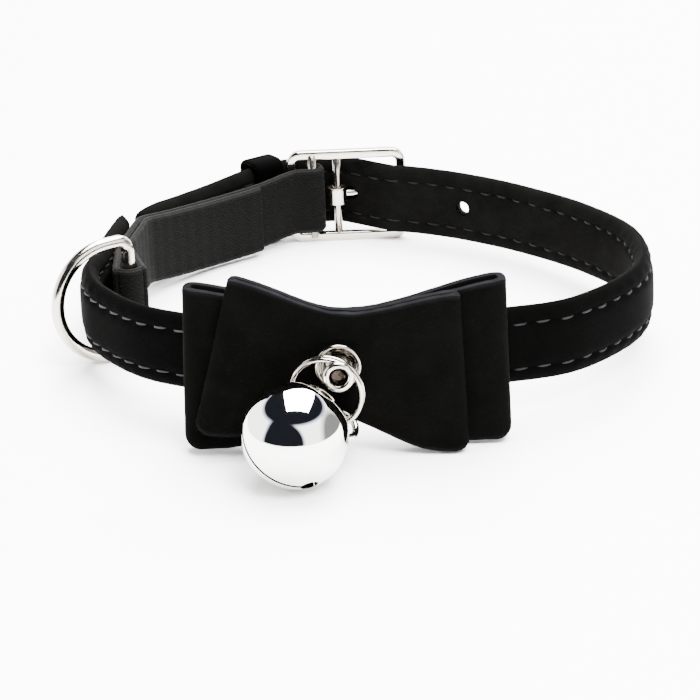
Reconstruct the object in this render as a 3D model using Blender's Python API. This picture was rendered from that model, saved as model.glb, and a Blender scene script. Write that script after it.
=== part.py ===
"""Pet bow tie collar: a padded velvet strap with a two-tier bow, a bell on a split ring, a D-ring,
a folded elastic run and a centre-bar pin buckle. Metres, +Z up, the bow faces -Y, the floor is z = 0."""

from math import asin, atan2, cos, pi, radians, sin

import bmesh
import bpy
import numpy as np
from mathutils import Matrix, Vector

# Strap, and the loop that it is closed into
LOOP_REACH = 0.0380  # about the distance of the strap's middle from the loop's centre
STRAP_WIDTH = 0.0100
STRAP_THICK = 0.0029
FRONT_RISE = 0.0044  # how much higher the strap lies behind the bow than at the buckle
GAP = 0.00034  # between pieces that touch on the real collar
TIP_TAPER = 0.0060
TIP_NARROWING = 0.20  # of the width, at the very tip

# Elastic run, two layers
ELASTIC_WIDTH = 0.0096
ELASTIC_LAYER = 0.0011

# D-ring
D_WIRE = 0.0017
D_LEG = 0.0029
D_SLACK = 0.0037  # free height in the ring above and below the strap, together
D_CORNER = 0.0015
D_ANGLE = 189.5  # where its bar stands, seen from above
D_TURN = 19.5  # degrees from square to the strap, as it lies
D_MIDDLE = 0.0088

# Buckle
FRAME_LENGTH = 0.0170
RAIL = 0.0013
CENTRE_BAR = 0.0011
CENTRE_BAR_SHARE = 0.42  # of the frame's length, from its left end
FOLD_BAR_STEP = 0.0035  # from the centre bar to the bar in the elastic's fold
FOLD_BAR_DROP = 0.0005
PRONG_SHEET = 0.0005
PRONG_WIDTH = 0.0024
PRONG_WIRE = 0.0010
KEEPER_WALL = 0.0009
KEEPER_WIDTH = 0.0046
KEEPER_ANGLE = 107.5

# Spare hole in the strap
HOLE = 0.0018
HOLE_ANGLE = 423.0

# Bow
PANEL = 0.0010  # velvet
BACK_HALF_SPAN = 0.0193
FRONT_HALF_SPAN = 0.0137
BACK_HEIGHT = 0.0209  # of its wings' ends
FRONT_HEIGHT = 0.0204
WAIST_HEIGHT = 0.0132
FULL_SHARE = 0.77  # of the half span, where the lower edge has reached its full depth
LEVEL_SHARE = 0.10  # the upper edge is level this far
BACK_GAPE = 0.0036  # its open wings, from face to face
FRONT_GAPE = 0.0023
BACK_FLARE = 0.00045
FRONT_FLARE = 0.0027
FRONT_TILT = 6.5  # degrees, its left wing up
BACK_TILT = 0.5
BACK_SHIFT = 0.0010
WING_LEAN = 0.00075  # how far the front tier's wings stand forward
FRONT_DROP = 0.00022  # its middle below the rivet
BACK_DROP = 0.00120

# Rivet, split ring and bell
RIVET_X = -0.0024
RIVET_OFF_CENTRE = 0.0014  # above the strap's middle
POST = 0.0011
HEAD = 0.0035
HEAD_DEPTH = 0.0011
NECK = 0.0037
WASHER = 0.0058
WASHER_DEPTH = 0.0010
RING_RADIUS = 0.00441
RING_WIRE = 0.00062
RING_CENTRE = (-0.0015, 0.0020, 0.00274)  # from the washer's foot, across, forward and down
RING_AXIS = (0.240, 0.970, 0.050)
BELL = 0.0130
BELL_CENTRE = (-0.0055, 0.0085)  # from the washer's foot, across and forward
BELL_WALL = 0.0007
BELL_LIFT = 0.0003  # it hangs just clear of what the collar lies on
BELL_SLIT = 0.0005
BELL_SLIT_REACH = 72.0  # degrees to each end from its middle
BELL_SLIT_HOLE = 0.0022
EYE_WIRE = 0.0009
EYE_HOLE = 0.0028
EYE_AXIS = (0.688, 0.711, -0.146)
EYE_NORMAL = (-0.700, 0.253, -0.667)  # along the ring where it goes through
BELL_SLIT_BACK = (0.800, 0.560, 0.215)  # away from the slit's middle
BELL_SLIT_NORMAL = (0.280, -0.706, 0.649)

STEP = 0.0034  # along the strap and the elastic
SIDES = 12

# The strap's middle line: angle seen from above with 270 at the bow, reach as a share of
# LOOP_REACH, and rise as a share of FRONT_RISE
STRAP_ROWS = (
    (150.5, 0.953, 0.14),
    (163.0, 0.903, 0.22),
    (178.0, 0.892, 0.33),
    (190.0, 0.928, 0.41),
    (205.0, 0.946, 0.52),
    (225.0, 0.958, 0.66),
    (247.0, 0.948, 0.84),
    (266.0, 0.937, 1.00),
    (285.0, 0.944, 0.90),
    (300.0, 0.985, 0.78),
    (315.0, 1.045, 0.69),
    (337.0, 1.044, 0.54),
    (360.0, 0.984, 0.36),
    (382.0, 0.915, 0.20),
    (405.0, 0.898, 0.07),
    (422.0, 0.930, 0.01),
    (432.0, 0.958, 0.00),
)
# The run without velvet: angle, reach of the elastic's outer face as a share of LOOP_REACH, and
# how far it sags as a share of FRONT_RISE
RUN_ROWS = (
    (105.0, 0.987, 0.05),
    (114.0, 0.953, 0.22),
    (125.0, 0.932, 0.29),
    (138.0, 0.913, 0.20),
    (146.0, 0.911, 0.07),
)
# The strap's tail over that run: angle, its stand-off from the elastic as a share of STRAP_THICK,
# and its sag as a share of FRONT_RISE, less than 0 where it stands higher
TAIL_ROWS = ((109.0, 0.85, 0.0), (122.0, 0.44, 0.14), (134.0, 0.20, 0.10), (144.0, 0.06, -0.10))
# Half of a bow loop in plan: reach as a share of its half span, opening as a share of its gape
LOOP_ROWS = (
    (0.00, 0.00),
    (0.25, 0.00),
    (0.42, 0.20),
    (0.62, 0.60),
    (0.80, 0.94),
    (0.92, 0.96),
    (0.985, 0.60),
    (1.00, 0.00),
)
# Half of the strap's section: share of its half width, share of its half thickness
STRAP_SECTION = ((0.0, 1.0), (0.60, 0.95), (0.86, 0.76), (0.97, 0.45), (1.0, 0.15))


def material(name, colour, metallic, roughness):
    made = bpy.data.materials.new(name)
    made.use_nodes = True
    shader = made.node_tree.nodes["Principled BSDF"]
    shader.inputs["Base Color"].default_value = (*colour, 1.0)
    shader.inputs["Metallic"].default_value = metallic
    shader.inputs["Roughness"].default_value = roughness
    made.diffuse_color = (*colour, 1.0)
    return made


def add_object(name, vertices, faces, finish, place=None):
    """A mesh object with its faces turned outwards, put where it belongs."""
    mesh = bpy.data.meshes.new(name)
    mesh.from_pydata([tuple(v) for v in vertices], [], faces)
    shape = bmesh.new()
    shape.from_mesh(mesh)
    bmesh.ops.recalc_face_normals(shape, faces=shape.faces)
    shape.to_mesh(mesh)
    shape.free()
    mesh.shade_smooth()
    mesh.set_sharp_from_angle(angle=radians(40))
    mesh.materials.append(finish)
    made = bpy.data.objects.new(name, mesh)
    made.matrix_world = place or Matrix.Identity(4)
    bpy.context.scene.collection.objects.link(made)
    return made


def loft(name, rings, finish, closed=False, place=None):
    """One body through rings of equally many points. An open one gets flat ends."""
    count = len(rings[0])
    vertices = [point for ring in rings for point in ring]
    faces = []
    for i in range(len(rings) if closed else len(rings) - 1):
        a, b = i * count, (i + 1) % len(rings) * count
        for j in range(count):
            k = (j + 1) % count
            faces.append((a + j, a + k, b + k, b + j))
    if not closed:
        faces.append(tuple(range(count)))
        faces.append(tuple(range(len(vertices) - count, len(vertices)))[::-1])
    return add_object(name, vertices, faces, finish, place)


def combine(target, other, operation):
    """Applies a Boolean with a helper object, and removes the helper."""
    bpy.context.view_layer.update()
    modifier = target.modifiers.new(other.name, "BOOLEAN")
    modifier.operation = operation
    modifier.solver = "EXACT"
    modifier.object = other
    graph = bpy.context.evaluated_depsgraph_get()
    mesh = bpy.data.meshes.new_from_object(target.evaluated_get(graph))
    target.modifiers.clear()
    target.data = mesh
    mesh.shade_smooth()
    mesh.set_sharp_from_angle(angle=radians(40))
    bpy.data.objects.remove(other)


def smooth_path(points, step):
    """A Catmull-Rom curve through the points, with a point about every step."""
    points = [Vector(p) for p in points]
    points = [2 * points[0] - points[1], *points, 2 * points[-1] - points[-2]]
    path = []
    for p0, p1, p2, p3 in zip(points, points[1:], points[2:], points[3:]):
        count = max(1, round((p2 - p1).length / step))
        for i in range(count):
            t = i / count
            bend = 2 * p0 - 5 * p1 + 4 * p2 - p3
            path.append(0.5 * (2 * p1 + (p2 - p0) * t + bend * t**2 + (3 * p1 - p0 - 3 * p2 + p3) * t**3))
    path.append(points[-2])
    return path


def directions(path, closed=False):
    """The direction of travel at each point of a path."""
    last = len(path) - 1
    found = []
    for i in range(len(path)):
        ahead = path[(i + 1) % len(path)] if closed else path[min(i + 1, last)]
        behind = path[i - 1] if closed or i else path[0]
        found.append((ahead - behind).normalized())
    return found


def right_of(along):
    return Vector((along.y, -along.x, 0)).normalized()


def wire(name, path, diameter, finish, closed=False, sides=8, place=None):
    """A round wire along a path, its section carried along without twist."""
    along = directions(path, closed)
    side = along[0].orthogonal().normalized()
    rings = []
    for point, t in zip(path, along):
        side = (side - t * side.dot(t)).normalized()
        up = t.cross(side)
        turns = [2 * pi * k / sides for k in range(sides)]
        rings.append([point + diameter / 2 * (cos(a) * side + sin(a) * up) for a in turns])
    return loft(name, rings, finish, closed, place)


def turned(name, profile, finish, place, closed=False, sides=SIDES):
    """A profile of (radius, height) pairs turned about local Z."""
    rings = []
    for radius, height in profile:
        turns = [2 * pi * k / sides for k in range(sides)]
        rings.append([Vector((radius * cos(a), radius * sin(a), height)) for a in turns])
    return loft(name, rings, finish, closed, place)


def block(name, low, high, finish, place=None):
    corners = [(x, y, z) for x in (low[0], high[0]) for y in (low[1], high[1]) for z in (low[2], high[2])]
    faces = [(0, 1, 3, 2), (4, 6, 7, 5), (0, 4, 5, 1), (2, 3, 7, 6), (0, 2, 6, 4), (1, 5, 7, 3)]
    return add_object(name, corners, faces, finish, place)


def rounded_outline(half_width, half_height, radius, corner_steps=3):
    """(across, up) pairs round a rectangle with round corners."""
    outline = []
    for quarter, (sx, sy) in enumerate(((1, 1), (-1, 1), (-1, -1), (1, -1))):
        for i in range(corner_steps + 1):
            a = pi / 2 * (quarter + i / corner_steps)
            across = sx * (half_width - radius) + radius * cos(a)
            outline.append((across, sy * (half_height - radius) + radius * sin(a)))
    return outline


def polar(angle, reach, height=0.0):
    return Vector((reach * cos(radians(angle)), reach * sin(radians(angle)), height))


def interpolate(rows, column, at):
    return float(np.interp(at, [row[0] for row in rows], [row[column] for row in rows]))


def placed(position, z_axis, x_hint):
    """A placing whose local Z points along z_axis, with local X near x_hint."""
    z = Vector(z_axis).normalized()
    x = Vector(x_hint)
    x = (x - z * x.dot(z)).normalized()
    turn = Matrix((x, z.cross(x), z)).transposed().to_4x4()
    return Matrix.Translation(position) @ turn


for stale in list(bpy.data.objects):
    bpy.data.objects.remove(stale)

velvet = material("black_velvet", (0.006, 0.006, 0.007), 0.0, 0.95)
weave = material("elastic_weave", (0.022, 0.021, 0.020), 0.0, 0.9)
chrome = material("chrome_plate", (0.80, 0.80, 0.78), 1.0, 0.12)

# Where the buckle lies: its bars stand upright, and its frame runs along X
LOW = RAIL + GAP  # the strap's lower edge at the buckle, one rail above the floor
FRAME_HEIGHT = STRAP_WIDTH + 2 * LOW + GAP
FRAME_Y = LOOP_REACH * 1.024
LEFT_BAR_X = -LOOP_REACH * 0.238 + RAIL / 2
RIGHT_BAR_X = LEFT_BAR_X + FRAME_LENGTH - RAIL
CENTRE_X = LEFT_BAR_X - RAIL / 2 + FRAME_LENGTH * CENTRE_BAR_SHARE
FOLD_X = CENTRE_X - FOLD_BAR_STEP
FOLD_Y = FRAME_Y - FOLD_BAR_DROP
MIDDLE_Z = FRAME_HEIGHT / 2
HALF = STRAP_THICK / 2
ELASTIC_THICK = 2 * ELASTIC_LAYER


# Strap: from its sewn end over the elastic, round the front, through the buckle to the tail's tip
def rise_at(angle):
    """Height of the strap's lower edge at an angle round the loop."""
    return LOW + FRONT_RISE * interpolate(STRAP_ROWS, 2, angle)


def strap_line():
    line = [polar(angle, reach * LOOP_REACH, rise_at(angle)) for angle, reach, _ in STRAP_ROWS]
    loop_clear = CENTRE_BAR / 2 + 2 * GAP + PRONG_SHEET + HALF
    bar_clear = RAIL / 2 + GAP + HALF
    slope = asin((loop_clear + bar_clear) / (RIGHT_BAR_X - CENTRE_X))
    line.append(Vector((RIGHT_BAR_X + GAP, FRAME_Y - bar_clear - GAP / 2, LOW)))
    line.append(Vector((RIGHT_BAR_X - bar_clear * sin(slope), FRAME_Y - bar_clear * cos(slope), LOW)))
    line.append(Vector((CENTRE_X + loop_clear * sin(slope), FRAME_Y + loop_clear * cos(slope), LOW)))
    line.append(Vector((CENTRE_X - GAP, FRAME_Y + loop_clear + GAP, LOW)))
    line.append(Vector((LEFT_BAR_X, FRAME_Y + bar_clear + GAP, LOW)))
    for angle, stand_off, sag in TAIL_ROWS:
        reach = interpolate(RUN_ROWS, 1, angle) * LOOP_REACH + GAP + stand_off * STRAP_THICK + HALF
        line.append(polar(angle, reach, LOW - sag * FRONT_RISE))
    return smooth_path(line, STEP)


# The points run with the angle, so the loop's outside is to the right of the direction of travel
upper = [(HALF * b, a) for a, b in STRAP_SECTION]
outer_side = [(across, -up) for across, up in upper[:0:-1]] + upper
section = outer_side + [(-across, up) for across, up in outer_side[::-1]]
path = strap_line()
rings = []
for i, (point, along) in enumerate(zip(path, directions(path))):
    to_tip = sum((path[k + 1] - path[k]).length for k in range(i, len(path) - 1))
    narrow = 1 - TIP_NARROWING * max(0.0, 1 - to_tip / TIP_TAPER) ** 2
    middle = point + Vector((0, 0, STRAP_WIDTH / 2))
    up = Vector((0, 0, narrow * STRAP_WIDTH / 2))
    rings.append([middle + right_of(along) * a + up * b for a, b in section])
strap = loft("neck_strap", rings, velvet)

# Where the rivet goes through the front of the strap
front_reach = interpolate(STRAP_ROWS, 1, 266.0) * LOOP_REACH
rivet_z = rise_at(266.0) + STRAP_WIDTH / 2 + RIVET_OFF_CENTRE
to_front = placed((RIVET_X, 0, rivet_z), (0, -1, 0), (1, 0, 0))
hole_radius = POST / 2 + GAP
post_cut = turned("post_cut", [(hole_radius, LOOP_REACH / 2), (hole_radius, 2 * LOOP_REACH)], velvet, to_front)
combine(strap, post_cut, "DIFFERENCE")

spot = polar(HOLE_ANGLE, interpolate(STRAP_ROWS, 1, HOLE_ANGLE) * LOOP_REACH, LOW + STRAP_WIDTH / 2)
spot_place = placed(spot, (spot.x, spot.y, 0), (0, 0, 1))
hole_cut = turned("hole_cut", [(HOLE / 2, -STRAP_THICK), (HOLE / 2, STRAP_THICK)], velvet, spot_place)
combine(strap, hole_cut, "DIFFERENCE")

# Prong: a curl round the centre bar and a shank over the right end bar, through the strap
curl_in = CENTRE_BAR / 2 + GAP
curl_out = curl_in + PRONG_SHEET
shank_start = Vector((CENTRE_X + curl_out * 0.6, FRAME_Y + curl_in * 0.75, MIDDLE_Z))
shank_end = Vector((RIGHT_BAR_X + RAIL / 2, FRAME_Y + RAIL / 2 + PRONG_WIRE / 2 + GAP, MIDDLE_Z))
prong_place = Matrix.Translation((CENTRE_X, FRAME_Y, MIDDLE_Z))
low, high = -PRONG_WIDTH / 2, PRONG_WIDTH / 2
curl_profile = [(curl_in, low), (curl_out, low), (curl_out, high), (curl_in, high)]
prong = turned("buckle_prong", curl_profile, chrome, prong_place, closed=True)
combine(prong, wire("shank", [shank_start, shank_end], PRONG_WIRE, chrome), "UNION")
room = PRONG_WIRE / 2 + GAP
slot_place = placed(shank_start, shank_end - shank_start, (0, 0, 1))
slot_cut = block("slot_cut", (-room, -room, -GAP), (room, room, FRAME_LENGTH / 2), velvet, slot_place)
combine(strap, slot_cut, "DIFFERENCE")

# Buckle frame: a round-cornered wire frame, the prong's bar and the set-in bar of the elastic's fold
rail_z = (FRAME_HEIGHT - RAIL) / 2
low, high = MIDDLE_Z - rail_z, MIDDLE_Z + rail_z
frame_place = Matrix.Translation(((LEFT_BAR_X + RIGHT_BAR_X) / 2, FRAME_Y, MIDDLE_Z))
outline = rounded_outline((RIGHT_BAR_X - LEFT_BAR_X) / 2, rail_z, RAIL)
frame_line = [Vector((across, 0, up)) for across, up in outline]
buckle = wire("buckle_frame", frame_line, RAIL, chrome, closed=True, place=frame_place)
centre_line = [Vector((CENTRE_X, FRAME_Y, low)), Vector((CENTRE_X, FRAME_Y, high))]
combine(buckle, wire("centre_bar", centre_line, CENTRE_BAR, chrome), "UNION")
fold_line = [Vector((FOLD_X, FOLD_Y, low + GAP / 3)), Vector((FOLD_X, FOLD_Y, high - GAP / 3))]
combine(buckle, wire("fold_bar", fold_line, CENTRE_BAR, chrome), "UNION")

# D-ring, stored about its own bar: a straight bar, two legs and a half circle
d_half = (STRAP_WIDTH + D_SLACK + D_WIRE) / 2
d_reach = interpolate(STRAP_ROWS, 1, D_ANGLE) * LOOP_REACH - HALF - ELASTIC_THICK - D_WIRE / 2 - 2 * GAP
d_bar = polar(D_ANGLE, d_reach, D_MIDDLE)
d_line = []
for i in range(4):
    a = pi / 2 * i / 3
    d_line.append(Vector((D_CORNER * (1 - cos(a)), 0, d_half - D_CORNER * (1 - sin(a)))))
for i in range(13):
    a = pi / 2 - pi * i / 12
    d_line.append(Vector((D_LEG + d_half * cos(a), 0, d_half * sin(a))))
d_line += [Vector((point.x, 0, -point.z)) for point in d_line[3::-1]]
d_place = Matrix.Translation(d_bar) @ Matrix.Rotation(radians(D_ANGLE + D_TURN), 4, "Z")
d_ring = wire("d_ring", d_line, D_WIRE, chrome, closed=True, place=d_place)

# Elastic: its outer face follows the inside of the strap, then the run to the buckle
shared = [(p, t) for p, t in zip(path, directions(path)) if p.x < 0 and abs(p.y) < LOOP_REACH / 2 and p.y > 0]
shared = [pair for pair in shared if pair[0].length < LOOP_REACH]
face_line = [point - right_of(along) * (HALF + GAP) for point, along in shared[::-1]]
for angle, share, sag in RUN_ROWS[::-1]:
    level = LOW + (rise_at(150.5) - LOW) * (angle - 105) / 45
    face_line.append(polar(angle, share * LOOP_REACH, level - sag * FRONT_RISE))
face_path = smooth_path(face_line, STEP)
d_room = D_WIRE / 2 + GAP
d_wall = ELASTIC_LAYER
start = d_bar + polar(D_ANGLE - 95, d_room + d_wall * 0.45)
fold_bar = Vector((FOLD_X, FOLD_Y, LOW))
fold_wall = ELASTIC_LAYER * 0.8  # drawn thinner where it turns tightly
finish_at = fold_bar - Vector((CENTRE_BAR / 2 + GAP + fold_wall / 2, fold_wall / 4, 0))
middles = []
for i, (point, along) in enumerate(zip(face_path, directions(face_path))):
    middles.append(point + right_of(along) * ELASTIC_THICK / 2)
middles[0] = start
middles[0].z = face_path[0].z
middles.append(finish_at)
lift = (STRAP_WIDTH - ELASTIC_WIDTH) / 2
corner = ELASTIC_LAYER / 3
rings = []
for i, (point, along) in enumerate(zip(middles, directions(middles))):
    layers = ELASTIC_LAYER / 2 if i >= len(middles) - 3 else ELASTIC_THICK / 2
    if i == len(middles) - 3:
        layers = ELASTIC_LAYER * 0.8
    outward = -right_of(along)
    outline = rounded_outline(layers, ELASTIC_WIDTH / 2, corner, 1)
    middle = point + Vector((0, 0, lift + ELASTIC_WIDTH / 2))
    rings.append([middle + outward * across + Vector((0, 0, up)) for across, up in outline])
elastic = loft("elastic_band", rings, weave)


def fold_round(position, radius, wall):
    """The closed fold of the elastic round an upright bar."""
    low, high = lift + corner / 4, lift + ELASTIC_WIDTH - corner / 4
    profile = [(radius, low), (radius + wall, low), (radius + wall, high), (radius, high)]
    return turned("fold", profile, weave, Matrix.Translation(position), closed=True)


combine(elastic, fold_round(Vector((d_bar.x, d_bar.y, middles[0].z)), d_room, d_wall), "UNION")
combine(elastic, fold_round(fold_bar, CENTRE_BAR / 2 + GAP, fold_wall), "UNION")

# Keeper round the tail
towards = polar(KEEPER_ANGLE, 1.0)
tail = list(zip(path, directions(path)))[-18:]
spot, along = max(tail, key=lambda pair: pair[0].normalized().dot(towards))
spot = spot + Vector((0, 0, STRAP_WIDTH / 2))
rings = []
for wall, end in ((0, -1), (KEEPER_WALL, -1), (KEEPER_WALL, 1), (0, 1)):
    room = 1.4 * GAP + wall
    inner = rounded_outline(HALF + room, STRAP_WIDTH / 2 + room, HALF * 0.6 + wall)
    rings.append([Vector((across, end * KEEPER_WIDTH / 2, up)) for across, up in inner])
keeper_place = Matrix.Translation(spot) @ Matrix.Rotation(atan2(-along.x, along.y), 4, "Z")
keeper = loft("tail_keeper", rings, velvet, closed=True, place=keeper_place)


# Bow: each tier is a flattened loop of one panel, pinched at its waist
def tier(name, middle_y, half_span, end_height, gape, flare, shift, drop, tilt, lean):
    """A tier with straight upper edges and full lower ones, its wings open by gape from face to face."""
    near_half = (PANEL + GAP) / 2
    wide_half = (gape - PANEL) / 2
    half_line = []
    for share, opening in LOOP_ROWS:
        offset = 0.0 if share == 1.0 else near_half + (wide_half - near_half) * opening
        half_line.append((share, offset))
    quarter = [Vector((share * half_span, offset, 0)) for share, offset in half_line]
    far_side = [Vector((p.x, -p.y, 0)) for p in quarter[-2::-1]]
    right = quarter + far_side
    loop = smooth_path(right, half_span / 7)
    loop = loop[:-1] + [Vector((-p.x, p.y, 0)) for p in loop[::-1][:-1]]
    rings = []
    for point, along in zip(loop, directions(loop, closed=True)):
        share = abs(point.x) / half_span
        full = min(1.0, share / FULL_SHARE)
        swell = 3 * share**2 - 2 * share**3
        climb = max(0.0, share - LEVEL_SHARE) / (1 - LEVEL_SHARE)
        growth = {1: (climb + 3 * climb**2 - 2 * climb**3) / 2, -1: 3 * full**2 - 2 * full**3}
        spread = flare * swell * (1 if point.x > 0 else -1)
        across = right_of(along) * PANEL / 2
        back = Vector((shift, -lean * swell, 0))
        ring = []
        for side, up in ((1, -1), (1, 1), (-1, 1), (-1, -1)):
            height = WAIST_HEIGHT + (end_height - WAIST_HEIGHT) * growth[up]
            reach = Vector((spread * (0.5 - up / 2), 0, up * height / 2))
            ring.append(point + back + across * side + reach)
        rings.append(ring)
    turn = Matrix.Rotation(radians(tilt), 4, "Y")
    place = Matrix.Translation((RIVET_X, middle_y, rivet_z - drop)) @ turn
    made = loft(name, rings, velvet, closed=True, place=place)
    cut = turned("post_cut", [(hole_radius, LOOP_REACH / 2), (hole_radius, 2 * LOOP_REACH)], velvet, to_front)
    combine(made, cut, "DIFFERENCE")
    return made


strap_face = front_reach + HALF
tier_thick = 2 * PANEL + GAP
back_middle = -(strap_face + GAP + tier_thick / 2)
front_middle = back_middle - tier_thick - GAP
bow_back = tier(
    "bow_back", back_middle, BACK_HALF_SPAN, BACK_HEIGHT, BACK_GAPE, BACK_FLARE, BACK_SHIFT, BACK_DROP,
    BACK_TILT, 0,
)
bow_front = tier(
    "bow_front", front_middle, FRONT_HALF_SPAN, FRONT_HEIGHT, FRONT_GAPE, FRONT_FLARE, 0, FRONT_DROP,
    FRONT_TILT, WING_LEAN,
)

# Rivet: a cap inside the strap, a post through the bow, a neck and a hollow head
bow_face = -front_middle + tier_thick / 2
inner_face = front_reach - HALF
neck_end = bow_face + GAP + NECK
head_radius = HEAD / 2
profile = [
    (0.1 * head_radius, inner_face - 3 * GAP),
    (0.85 * head_radius, inner_face - 3 * GAP),
    (0.95 * head_radius, inner_face - GAP * 1.5),
    (POST / 2, inner_face - GAP * 1.5),
    (POST / 2, neck_end),
    (0.45 * head_radius, neck_end + 0.05 * HEAD_DEPTH),
    (head_radius, neck_end + 0.55 * HEAD_DEPTH),
    (0.90 * head_radius, neck_end + 0.9 * HEAD_DEPTH),
    (0.66 * head_radius, neck_end + HEAD_DEPTH),
    (0.45 * head_radius, neck_end + 0.65 * HEAD_DEPTH),
    (0.1 * head_radius, neck_end + 0.30 * HEAD_DEPTH),
]
rivet = turned("rivet", profile, chrome, to_front)

# Washer: a dished plate with a rolled rim
washer_in = hole_radius / (WASHER / 2)
shape = (
    (washer_in, 0.30), (0.40, 0.10), (0.62, 0.0), (0.86, 0.0), (1.0, 0.35), (1.0, 0.75), (0.93, 1.0),
    (0.82, 0.92), (0.66, 0.50), (washer_in, 0.72),
)
foot = bow_face + 1.5 * GAP
profile = [(share * WASHER / 2, foot + up * WASHER_DEPTH) for share, up in shape]
washer = turned("rivet_washer", profile, chrome, to_front, closed=True, sides=16)

# Split ring: two turns of wire side by side, with one step between them
ring_spot = Vector((RIVET_X + RING_CENTRE[0], -foot - RING_CENTRE[1], rivet_z - RING_CENTRE[2]))
ring_line = []
pitch = RING_WIRE * 1.12
for i in range(46):
    turn = 2 * pi * i / 24
    step = min(1.0, max(0.0, (i - 20.5) / 3))
    offset = pitch * (step * step * (3 - 2 * step) - 0.5)
    ring_line.append(Vector((RING_RADIUS * cos(turn), RING_RADIUS * sin(turn), offset)))
ring_place = placed(ring_spot, RING_AXIS, (-0.8, 0, 0.6))
split_ring = wire("split_ring", ring_line, RING_WIRE, chrome, sides=6, place=ring_place)

# Bell: a thin shell with a slit between two round holes, opposite its eye
radius = BELL / 2
bell_spot = Vector((RIVET_X + BELL_CENTRE[0], -foot - BELL_CENTRE[1], radius + BELL_LIFT))
bell_place = placed(bell_spot, BELL_SLIT_BACK, BELL_SLIT_NORMAL)


def ball(name, ball_radius, segments=24, rings=14):
    shape = bmesh.new()
    bmesh.ops.create_uvsphere(shape, u_segments=segments, v_segments=rings, radius=ball_radius)
    mesh = bpy.data.meshes.new(name)
    shape.to_mesh(mesh)
    shape.free()
    mesh.materials.append(chrome)
    made = bpy.data.objects.new(name, mesh)
    made.matrix_world = bell_place
    bpy.context.scene.collection.objects.link(made)
    return made


bell = ball("bell", radius)
combine(bell, ball("bell_hollow", radius - BELL_WALL), "DIFFERENCE")
slit_low = -radius * cos(radians(BELL_SLIT_REACH))
slit_cut = block(
    "slit_cut", (-BELL_SLIT / 2, -2 * radius, -2 * radius), (BELL_SLIT / 2, 2 * radius, slit_low), chrome,
    bell_place,
)
combine(bell, slit_cut, "DIFFERENCE")
for side in (-1, 1):
    a = radians(BELL_SLIT_REACH)
    spot = bell_place @ Matrix.Rotation(side * a, 4, "X") @ Matrix.Rotation(pi, 4, "X")
    end = turned(
        "end_cut", [(BELL_SLIT_HOLE / 2, radius / 2), (BELL_SLIT_HOLE / 2, 2 * radius)], chrome, spot, sides=12
    )
    combine(bell, end, "DIFFERENCE")
eye_radius = (EYE_HOLE + EYE_WIRE) / 2
eye_place = placed(bell_spot, EYE_AXIS, EYE_NORMAL)
eye_line = []
for i in range(14):
    a = 2 * pi * i / 14
    eye_line.append(Vector((0, eye_radius * sin(a), radius + eye_radius * (1 - cos(a)) + 0.1 * EYE_WIRE)))
combine(bell, wire("eye", eye_line, EYE_WIRE, chrome, closed=True, place=eye_place), "UNION")

# The whole stands with the middle of its plan and its lowest point at the origin
bpy.context.view_layer.update()
corners = np.array([o.matrix_world @ v.co for o in bpy.data.objects for v in o.data.vertices])
low, high = corners.min(axis=0), corners.max(axis=0)
shift = Vector((-(low[0] + high[0]) / 2, -(low[1] + high[1]) / 2, -low[2]))
for piece in bpy.data.objects:
    piece.location += shift
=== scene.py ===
"""Looks of the pet bow tie collar: a finer piece in the place of every CAD piece.
Lengths are in millimetres about the neck loop's centre until a mesh is made."""

from math import asin, cos, pi, radians, sin

import bpy
import numpy as np
from mathutils import Matrix, Vector


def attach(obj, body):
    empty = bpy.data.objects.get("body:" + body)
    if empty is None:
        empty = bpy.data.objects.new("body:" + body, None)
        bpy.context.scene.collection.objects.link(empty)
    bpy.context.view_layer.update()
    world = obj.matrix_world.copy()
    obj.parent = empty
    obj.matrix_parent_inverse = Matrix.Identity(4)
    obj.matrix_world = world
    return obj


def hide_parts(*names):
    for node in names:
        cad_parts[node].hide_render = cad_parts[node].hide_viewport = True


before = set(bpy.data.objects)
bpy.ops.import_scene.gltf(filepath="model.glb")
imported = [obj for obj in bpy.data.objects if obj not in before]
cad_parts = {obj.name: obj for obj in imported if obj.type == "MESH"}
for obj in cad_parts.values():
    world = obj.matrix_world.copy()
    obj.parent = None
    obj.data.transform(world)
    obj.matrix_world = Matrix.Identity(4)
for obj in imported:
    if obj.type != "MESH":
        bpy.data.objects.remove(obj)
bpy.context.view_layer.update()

# Velvet strap
# A padded tube of black velvet 10 mm wide, sewn along both edges. It overlaps the elastic at its
# left end, goes round the front, through the buckle and back over the elastic to its narrowed tip.
MM = 0.001
SHIFT = np.array((0.212, 7.012, -0.025))  # from the loop's centre to the frame's origin
REACH, WIDTH, THICK = 38.0, 10.0, 2.9
HALF = THICK / 2
GAP = 0.34  # between pieces that touch on the real collar
LOW, RISE = 1.64, 4.4  # the strap's lower edge at the buckle, and how much higher it is in front
FRAME_Y, LEFT_X, RIGHT_X, CENTRE_X = 38.912, -8.394, 7.306, -1.904  # the buckle and its bars
FOLD_X, FOLD_Y, FRAME_TOP = -5.404, 38.412, 13.62
BAR, RAIL, SHEET = 0.55, 0.65, 0.5  # half the bars' wire, half the rails', the prong's sheet
CURL_IN = BAR + GAP
CURL_OUT = CURL_IN + SHEET
RIVET = np.array((-2.4, 0.0, 12.44))
POST_ROOM = 0.89  # the radius of the holes for the rivet's post
PATCH, PILE = 3.85, 0.19  # brushed patches, and the pile, drawn coarser than real so that it shows
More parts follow.
